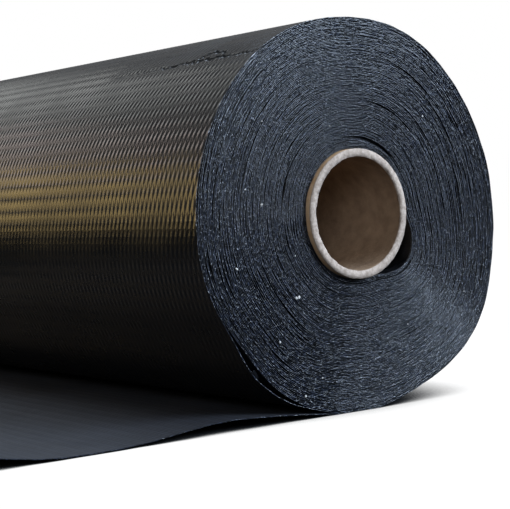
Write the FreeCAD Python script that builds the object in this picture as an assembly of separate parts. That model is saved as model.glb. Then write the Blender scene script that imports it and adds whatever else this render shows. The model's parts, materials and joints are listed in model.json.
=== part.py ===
"""A part-used roll of black polythene damp proof course, lying on its side on its own loose end.

The sheet is wound on a cardboard core. The roll has slumped a little under its weight: its base is
flat where it lies on the floor, its lower right side bulges, and there the turns have come away from
the core. The outermost turn hangs slightly loose at the lower left, then passes under the roll and
runs out over the floor as the tail.

Frame: millimetres, origin on the core's axis at mid-length, +Y along the roll from its near end to
its far end, +Z up. Angles are measured about the core's axis, from +X towards +Z.
"""
import os
from math import cos, pi, radians, sin

import FreeCAD
import Part

# The sheet
sheet_width = 600.0          # also the length of the winding
turn_pitch = 1.0             # room that one turn of the embossed sheet takes up
turn_gap = 0.5               # the part of that pitch that is air: the polythene itself is 0.5 thick

# The cardboard core
core_bore_radius = 38.1
core_wall = 5.3
core_overhang = 3.5          # the core stands out of each end of the winding by this much
core_clearance = 0.4         # between the core and the innermost turn, where they touch

# Where the innermost turns have come away from the core
slack_depth = 14.0
slack_centre = -32.0
slack_half_angle = 42.0

# The winding's outline: its flat base, then its surface at each angle, once round from the base
axis_height = 132.5
base_right = 18.0
base_left = -24.0
outline = [
    (-62.0, 135.5), (-46.0, 141.0), (-36.0, 143.5), (-25.0, 142.0), (-10.0, 138.5), (8.0, 136.0),
    (28.0, 134.0), (48.0, 134.3), (67.0, 134.4), (90.0, 132.0), (115.0, 132.6), (135.0, 132.6),
    (154.0, 132.2), (180.0, 133.2), (197.0, 133.7), (208.0, 132.6), (213.5, 131.9), (221.0, 133.8),
    (228.0, 136.8), (235.0, 137.2), (242.0, 137.0), (249.0, 135.4),
]

# The loose outermost turn: the air gap behind it, as its inner and outer radius at each angle
loose_gap = [
    (202.0, 131.6, 131.9), (208.0, 131.1, 131.6), (213.5, 130.5, 131.0), (221.0, 130.2, 132.8),
    (228.0, 131.6, 135.7), (235.0, 133.0, 136.1), (242.0, 134.2, 135.9), (248.0, 134.1, 134.4),
]

# The tail: the height of the middle of its thickness above the floor, outwards from the roll
tail = [
    (-12.0, 0.6), (-30.0, 1.4), (-48.0, 3.2), (-74.0, 5.4), (-99.0, 7.0), (-121.0, 6.9),
    (-142.0, 5.4), (-172.0, 2.0), (-197.0, 0.9), (-218.0, 0.8), (-240.0, 1.8), (-259.0, 4.3),
    (-280.0, 8.2), (-305.0, 14.0), (-332.0, 21.5),
]

# Turn lines cut into both ends
turn_line_count = 10
turn_line_depth = 1.2

near_end = -sheet_width / 2
core_radius = core_bore_radius + core_wall


def point(x, z, y=0.0):
    """A point of the section, at the given place along the roll."""
    return FreeCAD.Vector(x, y, z)


def polar(angle, radius):
    """A point of the section, at an angle in degrees and a radius about the core's axis."""
    return point(radius * cos(radians(angle)), radius * sin(radians(angle)))


def spline(points):
    """An open curve through the points."""
    curve = Part.BSplineCurve()
    curve.interpolate(points)
    return curve.toShape()


def loop(points):
    """A closed smooth curve through the points."""
    curve = Part.BSplineCurve()
    curve.interpolate(points, PeriodicFlag=True)
    return Part.Wire([curve.toShape()])


def line(start, end):
    """A straight edge."""
    return Part.LineSegment(start, end).toShape()


def prism(section, start, length):
    """A section of the roll, run along its axis from a start for a length."""
    solid = section.extrude(FreeCAD.Vector(0, length, 0))
    solid.translate(FreeCAD.Vector(0, start, 0))
    return solid


def bore_radius(angle):
    """The innermost turn's radius: snug on the core, and slack at the lower right."""
    away = abs((angle - slack_centre + 180.0) % 360.0 - 180.0) / slack_half_angle
    slack = slack_depth * (1 + cos(pi * away)) / 2 if away < 1 else 0.0
    return core_radius + core_clearance + slack


def base_radius(x):
    """The angle and radius of a point on the flat base."""
    foot = point(x, -axis_height)
    return (270.0 + FreeCAD.Vector(0, 0, -1).getAngle(foot) * 180 / pi * (1 if x > 0 else -1), foot.Length)


def envelope_face():
    """The whole section inside the outermost turn, without its bore."""
    right_foot = point(base_right, -axis_height)
    left_foot = point(base_left, -axis_height)
    around = spline([right_foot] + [polar(angle, radius) for angle, radius in outline] + [left_foot])
    return Part.Face(Part.Wire([around, line(left_foot, right_foot)]))


def bore_face():
    """The hole that the core passes through."""
    return Part.Face(loop([polar(angle, bore_radius(angle)) for angle in range(0, 360, 6)]))


def loose_gap_face():
    """The crescent of air behind the loose outermost turn."""
    inner = [polar(angle, low) for angle, low, high in loose_gap]
    outer = [polar(angle, high) for angle, low, high in loose_gap]
    edges = [spline(inner), line(inner[-1], outer[-1]), spline(outer), line(outer[0], inner[0])]
    return Part.Face(Part.Wire(Part.sortEdges(edges)[0]))


def tail_face():
    """The sheet's loose end, one pitch thick, from inside the base to its square-cut edge."""
    top = [point(x, height + turn_pitch / 2 - axis_height) for x, height in tail]
    under = [point(x, height - turn_pitch / 2 - axis_height) for x, height in tail]
    edges = [spline(top), line(top[-1], under[-1]), spline(under), line(under[0], top[0])]
    return Part.Face(Part.Wire(Part.sortEdges(edges)[0]))


def turn_line_face(share):
    """A thin ring that follows the turns, at a share of the way from the bore to the outermost one."""
    stations = [base_radius(base_left), (270.0, axis_height), base_radius(base_right)] + outline
    middle = [(angle, bore_radius(angle) + share * (radius - bore_radius(angle))) for angle, radius in stations]
    outer = loop([polar(angle, radius + turn_gap / 2) for angle, radius in middle])
    inner = loop([polar(angle, radius - turn_gap / 2) for angle, radius in middle])
    return Part.Face(outer).cut(Part.Face(inner))


def dpc_roll():
    """The wound sheet with its bore, loose outermost turn, tail and turn lines."""
    winding = prism(envelope_face(), near_end, sheet_width).fuse(prism(tail_face(), near_end, sheet_width))
    cuts = [prism(hollow, near_end, sheet_width) for hollow in (bore_face(), loose_gap_face())]
    for number in range(1, turn_line_count + 1):
        ring = turn_line_face(number / (turn_line_count + 1))
        cuts.append(prism(ring, near_end, turn_line_depth))
        cuts.append(prism(ring, -near_end - turn_line_depth, turn_line_depth))
    return winding.cut(cuts).removeSplitter()


def core_tube():
    """The cardboard tube that the sheet is wound on."""
    length = sheet_width + 2 * core_overhang
    start = point(0, 0, -length / 2)
    along = FreeCAD.Vector(0, 1, 0)
    outside = Part.makeCylinder(core_radius, length, start, along)
    return outside.cut(Part.makeCylinder(core_bore_radius, length, start, along))


os.makedirs("parts", exist_ok=True)
for name, shape in (("dpc_roll", dpc_roll()), ("core_tube", core_tube())):
    shape.exportStep(f"parts/{name}.step")
    print(name, "solids", len(shape.Solids), "valid", shape.isValid(), "litres", round(shape.Volume / 1e6, 3))
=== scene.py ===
# %% [markdown]
# # A roll of damp proof course
# Damp proof course is a strip of tough black polythene that bricklayers bed in a wall to stop water
# rising through it. It is sold as a roll: about fifty metres of embossed sheet wound on a cardboard
# tube. This one lies on its side on its own loose end, which runs out over the floor as a tail.
# The sizes come from a packed engineering model, so the first cell loads that model as the frame.

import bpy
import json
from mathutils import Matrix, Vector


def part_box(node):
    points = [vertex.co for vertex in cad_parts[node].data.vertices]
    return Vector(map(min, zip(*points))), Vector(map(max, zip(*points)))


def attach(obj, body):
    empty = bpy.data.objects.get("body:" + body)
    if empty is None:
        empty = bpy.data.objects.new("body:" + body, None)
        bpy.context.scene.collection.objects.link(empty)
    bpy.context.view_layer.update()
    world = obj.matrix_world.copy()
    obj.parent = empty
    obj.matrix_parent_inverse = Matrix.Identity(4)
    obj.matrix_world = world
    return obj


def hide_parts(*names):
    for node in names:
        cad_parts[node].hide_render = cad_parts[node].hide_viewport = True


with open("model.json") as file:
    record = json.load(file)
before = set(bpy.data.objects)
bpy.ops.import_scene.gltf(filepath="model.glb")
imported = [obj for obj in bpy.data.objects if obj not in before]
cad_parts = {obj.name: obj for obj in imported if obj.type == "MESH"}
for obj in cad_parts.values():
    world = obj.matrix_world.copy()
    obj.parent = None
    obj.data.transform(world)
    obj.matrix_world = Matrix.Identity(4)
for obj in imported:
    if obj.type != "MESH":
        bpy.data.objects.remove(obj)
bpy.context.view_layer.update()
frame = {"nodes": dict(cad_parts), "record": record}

# %% [markdown]
# Everything below is in metres. The core's axis is the line X = 0, Z = 0, the roll runs along Y from
# its near end at negative Y, and +Z is up. A few sizes are read once from the frame and from the
# record's mounts, so that every piece is fitted to the same numbers as the engineering model.

# %% Sizes that everything is fitted to
import json
from bisect import bisect_right
from math import atan2, cos, degrees, floor, hypot, pi, radians, sin

import bmesh
import bpy
from mathutils import Matrix, Vector, noise
from mathutils.bvhtree import BVHTree

roll_low, roll_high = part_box("dpc_roll")
core_low, core_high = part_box("core_tube")
near_y = roll_low.y
far_y = roll_high.y
floor_z = roll_low.z
sheet_width = far_y - near_y
core_radius = (core_high.x - core_low.x) / 2
bore_mount = next(mount for mount in frame["record"]["mounts"] if mount["name"] == "core_bore")
core_bore_radius = bore_mount["dims"]["r_mm"] / 1000
print("sheet", round(sheet_width, 3), "core radius", round(core_radius, 4), "floor", round(floor_z, 4))

# %% [markdown]
# The roll isn't round. It has slumped: the base is flat, the lower right side bulges, the inner turns
# have come away from the core there, and the last turn hangs loose at the lower left. Its section could
# be typed in again as a list, but it is safer to measure it: a ray sent out from the axis meets each
# surface of the engineering model in turn, and the distances say where the bore, the loose gap and the
# outside are at that angle.

# %% Measure the section
surface = BVHTree.FromObject(frame["nodes"]["dpc_roll"], bpy.context.evaluated_depsgraph_get())


def crossings(start, direction):
    """The distances at which a ray from a point meets the winding's surfaces."""
    found = []
    travelled = 0.0
    while True:
        hit, normal, face, distance = surface.ray_cast(start + direction * travelled, direction)
        if hit is None:
            return found
        travelled += distance
        found.append(travelled)
        travelled += 0.00005


def measure(angle):
    """The bore, the outside and the width of the loose gap at a whole angle in degrees."""
    direction = Vector((cos(radians(angle + 0.01)), 0, sin(radians(angle + 0.01))))
    found = crossings(Vector((0, 0.003, 0)), direction)
    loose = len(found) == 6
    outside = found[3] if loose else found[1]
    gap = found[2] - found[1] if loose else 0.0
    return found[0], outside, gap


measured = [measure(angle) for angle in range(360)]


def smoothed(values, reach):
    """The values of a closed ring, each averaged with its neighbours to take out the model's facets."""
    count = len(values)
    span = range(-reach, reach + 1)
    return [sum(values[(i + k) % count] for k in span) / len(span) for i in range(count)]


bore_ring = smoothed([values[0] for values in measured], 3)
outside_ring = smoothed([values[1] for values in measured], 2)
gap_ring = smoothed([values[2] for values in measured], 1)


def around(ring, angle):
    """A ring's value at any angle in degrees."""
    low = floor(angle)
    part = angle - low
    return ring[low % 360] * (1 - part) + ring[(low + 1) % 360] * part


print("bore", [round(bore_ring[a], 4) for a in (270, 300, 331, 350, 0, 90)])
print("outside", round(min(outside_ring), 4), round(max(outside_ring), 4), "gap", round(max(gap_ring), 4))

# %% [markdown]
# The winding really is one long sheet, so it is made as one: a flat grid of faces stands for the
# unrolled sheet, and each of its vertices is carried to its place on the spiral. Distance along the
# sheet becomes an angle and a radius. A stack of rings would be simpler, but the ends would show closed
# circles and not one sheet, and the loose turn and the tail could not run out of them.
#
# A row of stations holds where the sheet goes. It starts at the tail's free end, runs along the floor
# and under the roll, and then goes inwards, turn after turn, to the core.

# %% The path of the sheet
turn_pitch = 0.001
thickness = 0.0005
turns = 89
base_angle = 270.0


def turn_radius(turn, angle):
    """The sheet's radius, after a number of turns inwards from the base, at an angle."""
    bore = around(bore_ring, angle)
    outside = around(outside_ring, angle) - (around(gap_ring, angle) if turn >= 1 else 0.0)
    return bore + (outside - bore) * (1 - (turn + 0.5) / turns)


def tail_height(x):
    """The middle of the tail's thickness at a distance out from the roll, from the model's underside."""
    below = Vector((x, 0.003, floor_z - 0.05))
    return below.z + crossings(below, Vector((0, 0, 1)))[0] + turn_pitch / 2


tail_steps = 160
tail_reach = roll_low.x + 0.0004
stations = []
for step in range(tail_steps):
    x = tail_reach * (1 - step / tail_steps)
    stations.append((x, tail_height(x), -1.0))

turn = 0.0
while turn < turns - 1:
    angle = base_angle + 360 * turn
    radius = turn_radius(turn, angle)
    stations.append((radius * cos(radians(angle)), radius * sin(radians(angle)), turn))
    turn += 0.002 / (2 * pi * radius)

along = [0.0]
for (x0, z0, _), (x1, z1, _) in zip(stations, stations[1:]):
    along.append(along[-1] + hypot(x1 - x0, z1 - z0))
tail_length = along[tail_steps]
outer_length = along[next(i for i, station in enumerate(stations) if station[2] >= 1)]
print("sheet", round(along[-1], 2), "m long, tail", round(tail_length, 3), "m, outer turn ends at",
      round(outer_length, 3))

# %% [markdown]
# The spiral has to be walked in small steps, and a vertex can fall between two stations. The next
# helper finds the place on the path for any distance along the sheet, with the direction that the
# sheet faces there, so that a bump can be raised straight out of its surface.

# %% Places along the sheet
def place(distance):
    """The point of the section, the outward direction and the number of turns at a distance."""
    low = min(max(bisect_right(along, distance) - 1, 0), len(along) - 2)
    part = (distance - along[low]) / (along[low + 1] - along[low])
    x0, z0, turn0 = stations[low]
    x1, z1, turn1 = stations[low + 1]
    run = Vector((x1 - x0, 0, z1 - z0)).normalized()
    point = Vector((x0 + (x1 - x0) * part, 0, z0 + (z1 - z0) * part))
    return point, Vector((run.z, 0, -run.x)), turn0 + (turn1 - turn0) * part


print("half way along", place(along[-1] / 2))

# %% [markdown]
# The sheet is embossed so that mortar grips it. The pattern is a lattice of long thin lozenges: they
# run round the roll, and each row is shifted half a step along it from the last. Two slanting families
# of grooves cut that lattice, so the height at a place is its distance from the nearest groove. The
# lozenges are real relief, because their facets are what catches the light in streaks, and a bump map
# is only added to sharpen the grooves, which are finer than the grid.

# %% The embossed pattern
lozenge_width = 0.0048
lozenge_length = 0.0188
lozenge_height = 0.00021


def off_groove(turned):
    """The distance from the nearest of a family of grooves, where they lie one unit apart."""
    return abs(turned - round(turned))


def embossing(distance, depth):
    """How far the sheet's middle is pushed out at a place along and across it."""
    lengthways = distance / lozenge_length
    crossways = depth / lozenge_width
    return lozenge_height * 2 * min(off_groove(lengthways + crossways), off_groove(lengthways - crossways))


def ripple(distance):
    """How far the edge of an inner turn waves in and out between its neighbours."""
    return 0.00034 * noise.noise(Vector((distance * 95, 0.3, 5.0)))


# %% [markdown]
# No roll is wound perfectly. Its edge wanders in and out by a fraction of a millimetre, and some turns
# sit deeper than their neighbours and show as dark arcs on the end. Smooth noise along the sheet gives
# the wander, and the few deep arcs are placed one by one: how far out they are between bore and
# outside, the angles that they run between, and their depth.

# %% How the edge wanders
deep_arcs = [
    (0.38, 40, 85, 0.0014), (0.62, 350, 30, 0.0010), (0.72, 40, 75, 0.0012), (0.24, 140, 182, 0.0014),
    (0.09, 20, 120, 0.0026), (0.14, 200, 300, 0.0018), (0.86, 70, 110, 0.0010), (0.50, 205, 240, 0.0010),
    (0.80, 215, 240, 0.0010), (0.56, 290, 315, 0.0010), (0.33, 265, 300, 0.0012), (0.05, 250, 20, 0.0026),
]


def edge_wander(distance, turn, angle):
    """How far the sheet's edge lies inside the roll's end at a place along the sheet."""
    slow = noise.noise(Vector((distance * 9, 3.1, 0.0)))
    quick = noise.noise(Vector((distance * 55, 7.7, 0.0)))
    inset = 0.0009 + 0.0008 * slow + 0.0007 * quick
    share = 1 - turn / turns
    for arc_share, start, end, depth in deep_arcs:
        width = (end - start) % 360
        into = (angle - start) % 360
        if abs(share - arc_share) < 0.6 / turns and into < width:
            inset += depth * sin(pi * into / width) ** 0.5
    return max(inset, 0.0001)


print("wander at the first turns", [round(edge_wander(d, 0, 0), 5) for d in (0.1, 0.2, 0.3)])

# %% [markdown]
# The outermost turn has a jagged crease that runs in from its near edge, with a short second crease
# beside it. The crease is pressed in as a shallow valley, and its deepest faces are coloured near black,
# which is painted shade in the fold. Its line is an angle round the roll that wanders with the distance
# from the end.

# %% The crease in the outer turn
crease_length = 0.158
second_crease = (0.040, 0.066)


def crease_angle(depth):
    """The crease's angle round the roll at a depth in from the near end."""
    jag = noise.noise(Vector((depth * 170, 0.4, 2.0))) + 0.6 * noise.noise(Vector((depth * 520, 4.0, 1.0)))
    return 125.9 + 2.4 * depth / crease_length + 1.1 * jag


def crease_strength(angle, depth):
    """From 0, untouched, to 1, in the middle of the crease."""
    if depth > crease_length:
        return 0.0
    strength = 0.5 + 0.5 * sin(pi * min(depth / 0.11, 1.0))
    off = abs(angle - crease_angle(depth))
    if second_crease[0] < depth < second_crease[1]:
        arch = sin(pi * (depth - second_crease[0]) / (second_crease[1] - second_crease[0]))
        off = min(off, abs(angle - crease_angle(depth) + 1.6 + 2.4 * arch))
    return strength * max(0.0, 1 - off / 0.75)


print("crease runs from", round(crease_angle(0), 1), "to", round(crease_angle(crease_length), 1), "degrees")

# %% [markdown]
# One helper makes every stretch of the sheet. It starts as a flat grid and is bent onto the path; then
# solidify gives it its thickness, with faces along every edge, so that it is closed like the real sheet.
# The faces along the two long edges get a second material, because a cut edge is duller than the
# embossed face. The outer stretches stay faceted, which keeps the lozenges crisp. The inner turns are
# shaded smooth round the roll and flat on their cut edges, so that each edge reads as slit square.
# The lozenges were pressed into the sheet before it was wound, so the lattice keeps to the grid of
# faces and moves with the sheet where its edge wanders. The attribute "lay" hands it to the materials.

# %% A helper for a stretch of sheet
column = lozenge_length / 4


def evenly(share):
    """Rows of faces spread evenly across the sheet."""
    return share


def rims_only(share):
    """Three rows of faces: a narrow one along each edge, and one wide one between them."""
    return [0.0, 0.003, 0.997, 1.0][round(share * 3)]


def sheet_stretch(name, start, end, columns, rows, faceted, spacing=evenly, refine=None):
    """A closed stretch of the sheet between two distances along it, as an object."""
    build = bmesh.new()
    bmesh.ops.create_grid(build, x_segments=columns, y_segments=rows, size=0.5)
    if refine:
        inside = [edge for edge in build.edges if all(refine(vertex.co) for vertex in edge.verts)]
        bmesh.ops.subdivide_edges(build, edges=inside, cuts=2, use_grid_fill=True)
    crease_and_shade = build.verts.layers.float.new("crease_and_shade")
    lay = build.verts.layers.float_vector.new("lay")
    for vertex in build.verts:
        distance = start + (vertex.co.x + 0.5) * (end - start)
        pressed_at = column * (round(start / column) + (vertex.co.x + 0.5) * columns)
        pressed_deep = (vertex.co.y + 0.5) * sheet_width
        point, outward, turn = place(distance)
        angle = degrees(atan2(point.z, point.x)) % 360
        near = edge_wander(distance, max(turn, 0), angle)
        far = edge_wander(distance + 50, max(turn, 0), (angle + 137) % 360)
        y = near_y + near + spacing(vertex.co.y + 0.5) * (sheet_width - near - far)
        vertex[crease_and_shade] = crease_strength(angle, y - near_y) if 0 <= turn < 1 else 0.0
        vertex[lay] = Vector((pressed_at, pressed_deep, 0))
        raised = embossing(pressed_at, pressed_deep) if faceted else ripple(distance)
        push = raised - 0.0006 * vertex[crease_and_shade]
        vertex.co = point + outward * push + Vector((0, y, 0))
    bmesh.ops.recalc_face_normals(build, faces=build.faces)
    bmesh.ops.solidify(build, geom=build.faces[:] + build.edges[:] + build.verts[:], thickness=thickness)
    bmesh.ops.recalc_face_normals(build, faces=build.faces)
    for face in build.faces:
        # Faces deep in the crease take material 2, whose near-black colour is painted shade in the fold.
        in_painted_shade = sum(vertex[crease_and_shade] for vertex in face.verts) / len(face.verts) > 0.3
        face.material_index = 1 if abs(face.normal.y) > 0.8 else 2 if in_painted_shade else 0
        face.smooth = not faceted and face.material_index != 1
    return finished(name, build)


def finished(name, build):
    """A bmesh turned into an object in the scene."""
    mesh = bpy.data.meshes.new(name)
    build.to_mesh(mesh)
    build.free()
    piece = bpy.data.objects.new(name, mesh)
    bpy.context.scene.collection.objects.link(piece)
    print(name, "faces", len(mesh.polygons))
    return piece


# %% [markdown]
# The sheet is laid in three stretches that meet end to end: the tail, the outermost turn and the inner
# turns. Only the first two show their embossed face, so only they get rows of faces across the roll,
# two to a lozenge's width and four to its length. Round the crease the grid is divided again so that
# the crease can be thin. The inner turns need faces across the roll only at their two rims.

# %% Lay the sheet
rows = round(sheet_width / (lozenge_width / 2))


def columns_between(start, end):
    """How many columns of faces a stretch takes."""
    return round((end - start) / column)


def near_crease(corner):
    """Whether a point of the flat outer stretch is close to the crease."""
    point, outward, turn = place(tail_length + (corner.x + 0.5) * (outer_length - tail_length))
    angle = degrees(atan2(point.z, point.x)) % 360
    return corner.y < -0.5 + (crease_length + 0.01) / sheet_width and abs(angle - 124.5) < 7


tail = sheet_stretch("tail", 0.0, tail_length, columns_between(0, tail_length), rows, True)
outer_turn = sheet_stretch("outer_turn", tail_length, outer_length,
                           columns_between(tail_length, outer_length), rows, True, refine=near_crease)
inner_turns = sheet_stretch("inner_turns", outer_length, along[-1],
                            columns_between(outer_length, along[-1]), 3, False, spacing=rims_only)

# %% [markdown]
# The core is a tube wound from strips of cardboard. Its sawn end is paler than its sides and a little
# ragged, above all along the inner edge, where the plies have frayed. Its wall is spun from a narrow
# section with a few extra rings near each end, and the end rings are then moved by noise. A cylinder
# primitive would need as much work and would have no wall.

# %% The cardboard core
core_steps = 240
ring_places = [0.0, 0.0015, 0.005, 0.05, 0.3, 0.6, 0.9, 0.98, 0.9975, 1.0]


def core_section(build):
    """The wall's section as a closed line of vertices, from the bore round to the outside."""
    length = core_high.y - core_low.y
    bore = [Vector((core_bore_radius, core_low.y + share * length, 0)) for share in ring_places]
    outside = [Vector((core_radius, corner.y, 0)) for corner in reversed(bore)]
    middle = (core_radius + core_bore_radius) / 2
    line = bore + [Vector((middle, core_high.y, 0))] + outside + [Vector((middle, core_low.y, 0))]
    corners = [build.verts.new(corner) for corner in line]
    return [build.edges.new(pair) for pair in zip(corners, corners[1:] + corners[:1])]


build = bmesh.new()
section = core_section(build)
bmesh.ops.spin(build, geom=section + list({v for edge in section for v in edge.verts}), cent=(0, 0, 0),
               axis=(0, 1, 0), dvec=(0, 0, 0), angle=2 * pi, steps=core_steps, use_merge=True,
               use_duplicate=False)
bmesh.ops.remove_doubles(build, verts=build.verts, dist=0.000001)
bmesh.ops.recalc_face_normals(build, faces=build.faces)
for vertex in build.verts:
    end = min(vertex.co.y - core_low.y, core_high.y - vertex.co.y)
    if end < 0.0008:
        radius = hypot(vertex.co.x, vertex.co.z)
        inner = radius < core_bore_radius + 0.001
        rough = noise.noise(vertex.co * 110) + 0.4 * noise.noise(vertex.co * 300)
        inward = 0.0002 + abs(rough) * (0.0013 if inner else 0.0005)
        vertex.co.y += inward if vertex.co.y < 0 else -inward
        if inner:
            vertex.co.x *= 1 + 0.024 * rough
            vertex.co.z *= 1 + 0.024 * rough
for face in build.faces:
    face.smooth = True
core = finished("core", build)

# %% [markdown]
# Crumbs of mortar, dust and torn card have caught between the turns on the near end, and a scrap of
# polythene sticks out of the loose gap. Each crumb is a small ball of few faces, squashed and knocked
# out of shape. They are joined into one piece, because nobody would ever move them one by one. Each
# is listed by its angle round the roll, its distance from the axis and its size.

# %% Crumbs on the near end
crumbs = [
    (225, 0.074, 0.0017), (224, 0.076, 0.0012), (174, 0.081, 0.0012), (197, 0.107, 0.0013),
    (247, 0.127, 0.0011), (252, 0.112, 0.0010), (229, 0.106, 0.0011), (169, 0.095, 0.0008),
    (45, 0.093, 0.0009), (142, 0.099, 0.0006), (86, 0.103, 0.0006), (110, 0.062, 0.0007),
    (300, 0.090, 0.0007), (330, 0.118, 0.0007), (205, 0.060, 0.0006),
]
build = bmesh.new()
for number, (angle, radius, size) in enumerate(crumbs):
    ball = bmesh.ops.create_icosphere(build, subdivisions=1, radius=size * 0.75)["verts"]
    place_at = Vector((radius * cos(radians(angle)), near_y + 0.0004, radius * sin(radians(angle))))
    for vertex in ball:
        knock = noise.noise(vertex.co * 1500 + Vector((number, 0, 0)))
        vertex.co = vertex.co * (1 + 0.7 * knock)
        vertex.co.y *= 0.5
        vertex.co += place_at
dust = finished("crumbs", build)

# %% [markdown]
# The torn scrap bridges the loose gap: a small flat sliver of the same sheet, standing out of the gap
# between the last turn and the one inside it.

# %% The torn scrap
scrap_angle = 228.0
gap_outer = around(outside_ring, scrap_angle) - turn_pitch
build = bmesh.new()
bmesh.ops.create_grid(build, x_segments=4, y_segments=3, size=0.5)
for vertex in build.verts:
    angle = scrap_angle + vertex.co.x * 3.2
    radius = gap_outer - 0.0022 + 0.0034 * vertex.co.y
    depth = 0.0012 + 0.001 * noise.noise(vertex.co * 4) + 0.002 * (vertex.co.x + 0.5)
    vertex.co = Vector((radius * cos(radians(angle)), near_y + depth, radius * sin(radians(angle))))
bmesh.ops.solidify(build, geom=build.faces[:] + build.edges[:] + build.verts[:], thickness=thickness)
bmesh.ops.recalc_face_normals(build, faces=build.faces)
scrap = finished("torn_scrap", build)

# %% [markdown]
# ## Materials
# Black polythene is nearly black, and what is seen is mostly its gloss. The embossed face has a soft
# sheen that varies where it has been handled, and the crowns of its lozenges are coloured paler, more
# so in blotches. The sheet's other face, which is what the tail shows, is duller, with paler and bluer
# crowns. Where the crease folds in, the sheet is coloured near black, which is painted shade in the
# fold, and it is rough with almost no sheen. Each material is built by one short function with a
# helper that adds a node and sets its plain numbers.

# %% Helpers for materials
def new_material(name):
    """A material with its node tree and its Principled shader."""
    material = bpy.data.materials.new(name)
    material.use_nodes = True
    return material, material.node_tree, material.node_tree.nodes["Principled BSDF"]


def add(tree, kind, **values):
    """A node with the named inputs or settings given."""
    node = tree.nodes.new(kind)
    for key, value in values.items():
        if key in node.inputs:
            node.inputs[key].default_value = value
        else:
            setattr(node, key, value)
    return node


def blotches(tree, scale, low, high, detail=4.0):
    """Smooth noise on Object coordinates, spread between two values."""
    coordinates = add(tree, "ShaderNodeTexCoord")
    pattern = add(tree, "ShaderNodeTexNoise", Scale=scale, Detail=detail, Roughness=0.6)
    spread = tree.nodes.new("ShaderNodeMapRange")
    spread.inputs["From Min"].default_value = 0.3
    spread.inputs["From Max"].default_value = 0.7
    spread.inputs["To Min"].default_value = low
    spread.inputs["To Max"].default_value = high
    tree.links.new(coordinates.outputs["Object"], pattern.inputs["Vector"])
    tree.links.new(pattern.outputs["Fac"], spread.inputs["Value"])
    return spread.outputs["Result"]


def mixed(tree, share, first, second):
    """Two colours mixed by a share, which may be a number from another node."""
    mix = add(tree, "ShaderNodeMix", data_type="RGBA")
    tree.links.new(share, mix.inputs["Factor"])
    mix.inputs["A"].default_value = (*first, 1)
    mix.inputs["B"].default_value = (*second, 1)
    return mix


def bump(tree, shader, height, strength, distance):
    """Fine relief from a height."""
    node = add(tree, "ShaderNodeBump", Strength=strength, Distance=distance)
    tree.links.new(height, node.inputs["Height"])
    tree.links.new(node.outputs["Normal"], shader.inputs["Normal"])


print("helpers ready")


# %% The embossed face
def lozenges(tree):
    """The same lattice as a height for bump, from each point's place along and across the sheet."""
    lay = add(tree, "ShaderNodeAttribute", attribute_name="lay")
    grooves = []
    for slant in (1, -1):
        family = add(tree, "ShaderNodeVectorMath", operation="DOT_PRODUCT")
        family.inputs[1].default_value = (1 / lozenge_length, slant / lozenge_width, 0)
        off = add(tree, "ShaderNodeMath", operation="PINGPONG")
        off.inputs[1].default_value = 0.5
        tree.links.new(lay.outputs["Vector"], family.inputs[0])
        tree.links.new(family.outputs["Value"], off.inputs[0])
        grooves.append(off)
    nearest = add(tree, "ShaderNodeMath", operation="SMOOTH_MIN")
    nearest.inputs[2].default_value = 0.08
    tree.links.new(grooves[0].outputs["Value"], nearest.inputs[0])
    tree.links.new(grooves[1].outputs["Value"], nearest.inputs[1])
    return nearest.outputs["Value"]


def embossed_polythene(name, dark, pale, relief, dullness):
    """Black polythene whose lozenge crowns are coloured paler in blotches, its lozenges sharpened by a bump.
    """
    material, tree, shader = new_material(name)
    pale_crown_share = add(tree, "ShaderNodeMath", operation="MULTIPLY")
    tree.links.new(lozenges(tree), pale_crown_share.inputs[0])
    tree.links.new(blotches(tree, 14, 1.2, 2.6), pale_crown_share.inputs[1])
    base = mixed(tree, pale_crown_share.outputs["Value"], dark, pale)
    tree.links.new(base.outputs["Result"], shader.inputs["Base Color"])
    tree.links.new(blotches(tree, 22, dullness, dullness + 0.11), shader.inputs["Roughness"])
    shader.inputs["IOR"].default_value = 1.52
    bump(tree, shader, lozenges(tree), 0.6, relief)
    return material


def painted_crease_shade():
    """Painted shade in the crease's fold: near black, with almost no sheen."""
    material, tree, shader = new_material("painted_crease_shade")
    # The near-black colour is painted shade in the crease's fold.
    base = mixed(tree, blotches(tree, 500, 0, 1), (0.0015, 0.0015, 0.0015), (0.004, 0.004, 0.004))
    tree.links.new(base.outputs["Result"], shader.inputs["Base Color"])
    shader.inputs["Roughness"].default_value = 0.8
    shader.inputs["Specular IOR Level"].default_value = 0.1
    return material


# %% [markdown]
# The slit edges of the sheet are what shows on the roll's ends. They are blue-black, and short paler
# blue streaks that run round the roll are painted glints. Noise that is stretched round the axis makes
# the streaks, and as a bump it tips the edges in and out, which is why the end glints in two opposite
# sectors.

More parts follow.
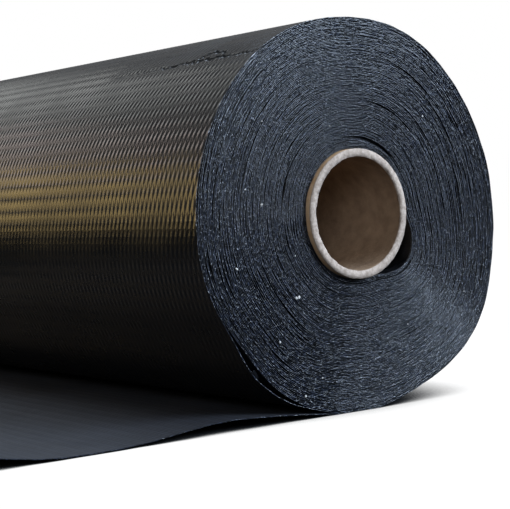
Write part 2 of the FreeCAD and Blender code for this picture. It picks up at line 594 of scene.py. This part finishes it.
# %% The cut edge
def around_axis(tree, round_scale, out_scale):
    """A place for noise that is stretched round the roll, from the object's own coordinates."""
    coordinates = add(tree, "ShaderNodeTexCoord")
    flat = add(tree, "ShaderNodeVectorMath", operation="MULTIPLY")
    flat.inputs[1].default_value = (1, 0, 1)
    radius = add(tree, "ShaderNodeVectorMath", operation="LENGTH")
    unit = add(tree, "ShaderNodeVectorMath", operation="NORMALIZE")
    ring = add(tree, "ShaderNodeVectorMath", operation="MULTIPLY")
    ring.inputs[1].default_value = (round_scale, 1, round_scale)
    outward = add(tree, "ShaderNodeMath", operation="MULTIPLY")
    outward.inputs[1].default_value = out_scale
    lifted = add(tree, "ShaderNodeCombineXYZ")
    place_in_noise = add(tree, "ShaderNodeVectorMath", operation="ADD")
    tree.links.new(coordinates.outputs["Object"], flat.inputs[0])
    tree.links.new(flat.outputs["Vector"], radius.inputs[0])
    tree.links.new(flat.outputs["Vector"], unit.inputs[0])
    tree.links.new(unit.outputs["Vector"], ring.inputs[0])
    tree.links.new(radius.outputs["Value"], outward.inputs[0])
    tree.links.new(outward.outputs["Value"], lifted.inputs["Y"])
    tree.links.new(ring.outputs["Vector"], place_in_noise.inputs[0])
    tree.links.new(lifted.outputs["Vector"], place_in_noise.inputs[1])
    return place_in_noise.outputs["Vector"]


def streaks(tree, round_scale, out_scale, low, high):
    """Short arcs round the roll, as a value from low to high."""
    pattern = add(tree, "ShaderNodeTexNoise", Scale=1.0, Detail=2.0, Roughness=0.6)
    spread = tree.nodes.new("ShaderNodeMapRange")
    spread.inputs["From Min"].default_value = 0.45
    spread.inputs["From Max"].default_value = 0.72
    spread.inputs["To Min"].default_value = low
    spread.inputs["To Max"].default_value = high
    tree.links.new(around_axis(tree, round_scale, out_scale), pattern.inputs["Vector"])
    tree.links.new(pattern.outputs["Fac"], spread.inputs["Value"])
    return spread.outputs["Result"]


def cut_edge():
    """Slit polythene: dull blue-black, with paler blue streaks that are painted glints."""
    material, tree, shader = new_material("cut_edge")
    # The paler blue streaks in the colour are painted glints.
    base = mixed(tree, streaks(tree, 38, 800, 0, 1), (0.0015, 0.0019, 0.003), (0.034, 0.042, 0.066))
    tree.links.new(base.outputs["Result"], shader.inputs["Base Color"])
    shader.inputs["Roughness"].default_value = 0.28
    shader.inputs["IOR"].default_value = 1.55
    bump(tree, shader, streaks(tree, 30, 900, 0, 1), 1.0, 0.00048)
    return material


# %% [markdown]
# Cardboard is matt, warm and fibrous. The sawn end and the bore are the same paper, so one material
# serves, and its colour is chosen by how far a point is from the ends and from the axis: pale greige on
# the sawn end, tan on the outside, brown inside. Blotches of noise stand for the paper's mottling.

# %% Cardboard
def cardboard():
    """Spiral-wound cardboard with a pale sawn end."""
    material, tree, shader = new_material("cardboard")
    coordinates = add(tree, "ShaderNodeTexCoord")
    parts = add(tree, "ShaderNodeSeparateXYZ")
    tree.links.new(coordinates.outputs["Object"], parts.inputs["Vector"])
    reach = add(tree, "ShaderNodeMath", operation="ABSOLUTE")
    tree.links.new(parts.outputs["Y"], reach.inputs[0])
    sawn = tree.nodes.new("ShaderNodeMapRange")
    sawn.inputs["From Min"].default_value = core_high.y - 0.0016
    sawn.inputs["From Max"].default_value = core_high.y - 0.0009
    tree.links.new(reach.outputs["Value"], sawn.inputs["Value"])
    off_axis = add(tree, "ShaderNodeVectorMath", operation="MULTIPLY")
    off_axis.inputs[1].default_value = (1, 0, 1)
    radius = add(tree, "ShaderNodeVectorMath", operation="LENGTH")
    tree.links.new(coordinates.outputs["Object"], off_axis.inputs[0])
    tree.links.new(off_axis.outputs["Vector"], radius.inputs[0])
    outside = add(tree, "ShaderNodeMath", operation="GREATER_THAN")
    outside.inputs[1].default_value = core_radius - 0.0008
    tree.links.new(radius.outputs["Value"], outside.inputs[0])
    inner = mixed(tree, blotches(tree, 90, 0, 1), (0.19, 0.12, 0.072), (0.31, 0.205, 0.125))
    outer = mixed(tree, blotches(tree, 90, 0, 1), (0.50, 0.30, 0.15), (0.66, 0.45, 0.28))
    side = add(tree, "ShaderNodeMix", data_type="RGBA")
    tree.links.new(outside.outputs["Value"], side.inputs["Factor"])
    tree.links.new(inner.outputs["Result"], side.inputs["A"])
    tree.links.new(outer.outputs["Result"], side.inputs["B"])
    end = mixed(tree, blotches(tree, 420, 0, 1), (0.24, 0.185, 0.145), (0.47, 0.385, 0.315))
    colour = add(tree, "ShaderNodeMix", data_type="RGBA")
    tree.links.new(sawn.outputs["Result"], colour.inputs["Factor"])
    tree.links.new(side.outputs["Result"], colour.inputs["A"])
    tree.links.new(end.outputs["Result"], colour.inputs["B"])
    tree.links.new(colour.outputs["Result"], shader.inputs["Base Color"])
    shader.inputs["Roughness"].default_value = 0.85
    shader.inputs["IOR"].default_value = 1.35
    bump(tree, shader, blotches(tree, 500, 0, 1), 0.5, 0.0003)
    return material


def crumb_finish():
    """Pale mortar dust and card."""
    material, tree, shader = new_material("crumb")
    base = mixed(tree, blotches(tree, 900, 0, 1), (0.30, 0.28, 0.25), (0.62, 0.60, 0.56))
    tree.links.new(base.outputs["Result"], shader.inputs["Base Color"])
    shader.inputs["Roughness"].default_value = 0.9
    return material


# %% [markdown]
# Every stretch of the sheet gets its three finishes in the same order, because its faces already say by
# number which is the face of the sheet, which is a cut edge and which lies deep in the crease and takes
# its painted shade.

# %% Give each piece its finishes
outer_face = embossed_polythene("embossed_polythene", (0.003, 0.0034, 0.0042), (0.010, 0.0108, 0.0125),
                                relief=0.0004, dullness=0.21)
inner_face = embossed_polythene("polythene_back", (0.003, 0.0035, 0.005), (0.024, 0.028, 0.040),
                                relief=0.0014, dullness=0.5)
edge_finish = cut_edge()
crease_shade_finish = painted_crease_shade()
for piece in (tail, outer_turn, inner_turns, scrap):
    for finish in (inner_face if piece is tail else outer_face, edge_finish, crease_shade_finish):
        piece.data.materials.append(finish)
core.data.materials.append(cardboard())
dust.data.materials.append(crumb_finish())
print("materials", [material.name for material in bpy.data.materials])

# %% [markdown]
# ## Handing the pieces to the frame
# Every piece rides on the one body of the model. The plain solids of the engineering model are hidden
# behind the pieces that stand for them.

# %% Ride and replace
for piece in (tail, outer_turn, inner_turns, scrap, dust):
    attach(piece, "root")
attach(core, "root")
for piece in (tail, outer_turn, inner_turns):
    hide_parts("dpc_roll")
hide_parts("core_tube")
print("pieces", [piece.name for piece in (tail, outer_turn, inner_turns, scrap, dust, core)])

# %% [markdown]
# ## Floor, light and camera
# The floor is plain and pale. To the camera it glows white, and less so where the roll closes it off
# from the open air, which the Ambient Occlusion node measures. That gives the small soft shadow of an
# object under even light, and the floor throws no extra light up on to the roll.

# %% Floor
build = bmesh.new()
bmesh.ops.create_grid(build, x_segments=1, y_segments=1, size=12, matrix=Matrix.Translation((0, 0, floor_z)))
ground = finished("floor", build)
material, tree, shader = new_material("floor")
shader.inputs["Base Color"].default_value = (0.02, 0.02, 0.02, 1)
shader.inputs["Roughness"].default_value = 0.9
shader.inputs["Specular IOR Level"].default_value = 0.0
rays = add(tree, "ShaderNodeLightPath")
shade = add(tree, "ShaderNodeAmbientOcclusion")
shade.inputs["Distance"].default_value = 0.085
lift = tree.nodes.new("ShaderNodeMapRange")
lift.inputs["From Min"].default_value = 0.22
lift.inputs["From Max"].default_value = 0.62
lift.inputs["To Min"].default_value = 0.0
lift.inputs["To Max"].default_value = 1.0
seen = add(tree, "ShaderNodeMath", operation="MULTIPLY")
tree.links.new(shade.outputs["AO"], lift.inputs["Value"])
tree.links.new(rays.outputs["Is Camera Ray"], seen.inputs[0])
tree.links.new(lift.outputs["Result"], seen.inputs[1])
tree.links.new(seen.outputs["Value"], shader.inputs["Emission Strength"])
shader.inputs["Emission Color"].default_value = (1, 1, 1, 1)
ground.data.materials.append(material)
print("floor at", round(floor_z, 4))

# %% [markdown]
# The world is white to the camera and dim to everything else, because black polythene would turn grey
# if it mirrored a white room. Six soft lamps do the rest: a cool one overhead, three behind the roll
# whose reflections make the grey, pink and gold bands on its side, a strong cool one in front on the
# right that rakes across the end, and one in front on the left that looks into the bore.

# %% World and lamps
world = bpy.data.worlds.new("studio")
world.use_nodes = True
bpy.context.scene.world = world
tree = world.node_tree
background = tree.nodes["Background"]
background.inputs["Color"].default_value = (1, 1, 1, 1)
rays = add(tree, "ShaderNodeLightPath")
direct = add(tree, "ShaderNodeMath", operation="MAXIMUM")
tree.links.new(rays.outputs["Is Camera Ray"], direct.inputs[0])
tree.links.new(rays.outputs["Is Transmission Ray"], direct.inputs[1])
strength = tree.nodes.new("ShaderNodeMapRange")
strength.inputs["To Min"].default_value = 0.2
strength.inputs["To Max"].default_value = 1.0
tree.links.new(direct.outputs["Value"], strength.inputs["Value"])
tree.links.new(strength.outputs["Result"], background.inputs["Strength"])


def soft_lamp(name, place_at, target, size, power, colour):
    """A square soft box that faces a point."""
    light = bpy.data.lights.new(name, "AREA")
    light.shape = "SQUARE"
    light.size = size
    light.energy = power
    light.color = colour
    lamp = bpy.data.objects.new(name, light)
    lamp.location = place_at
    lamp.rotation_euler = (Vector(target) - Vector(place_at)).to_track_quat("-Z", "Y").to_euler()
    bpy.context.scene.collection.objects.link(lamp)


soft_lamp("top", (0.3, 0.2, 2.2), (0, 0, 0), 1.6, 50, (0.72, 0.84, 1.0))
soft_lamp("back_high", (0.3, 3.4, 1.75), (0, 0.3, 0), 1.5, 6.5, (0.94, 0.97, 0.95))
soft_lamp("back_mid", (-0.7, 3.3, 1.2), (0, 0.3, 0), 1.0, 5, (1.0, 0.83, 0.76))
soft_lamp("back_low", (-1.7, 3.1, 0.6), (0, 0.3, 0), 1.2, 10.5, (1.0, 0.70, 0.24))
soft_lamp("end", (1.5, -2.15, 1.2), (0, -0.3, 0), 1.3, 160, (0.66, 0.8, 1.0))
soft_lamp("left", (-1.6, -2.2, 0.9), (-0.1, -0.2, 0), 1.0, 22, (0.78, 0.87, 1.0))
print("lamps", [item.name for item in bpy.data.lights])

# %% [markdown]
# The camera stands close to the floor on the left of the near end and looks along the roll. Its long
# lens keeps the end nearly flat. Its place is given in roll radii from the near end's centre, and it is
# turned by the three angles that a tripod head has.

# %% Camera
roll_radius = 0.1354
eye = Vector((-4.631, -5.001, 1.041)) * roll_radius + Vector((0.0022, near_y, floor_z))
yaw, pitch, tilt = -0.6706, -0.0362, -0.0366
camera_data = bpy.data.cameras.new("camera")
camera_data.lens = 97.05
camera_data.sensor_width = 36
camera = bpy.data.objects.new("camera", camera_data)
level = Matrix.Rotation(yaw, 4, "Z") @ Matrix.Rotation(pi / 2 + pitch, 4, "X")
camera.matrix_world = Matrix.Translation(eye) @ level @ Matrix.Rotation(tilt, 4, "Z")
bpy.context.scene.collection.objects.link(camera)
bpy.context.scene.camera = camera
bpy.context.scene.view_settings.view_transform = "Standard"
print("camera at", [round(part, 3) for part in eye])
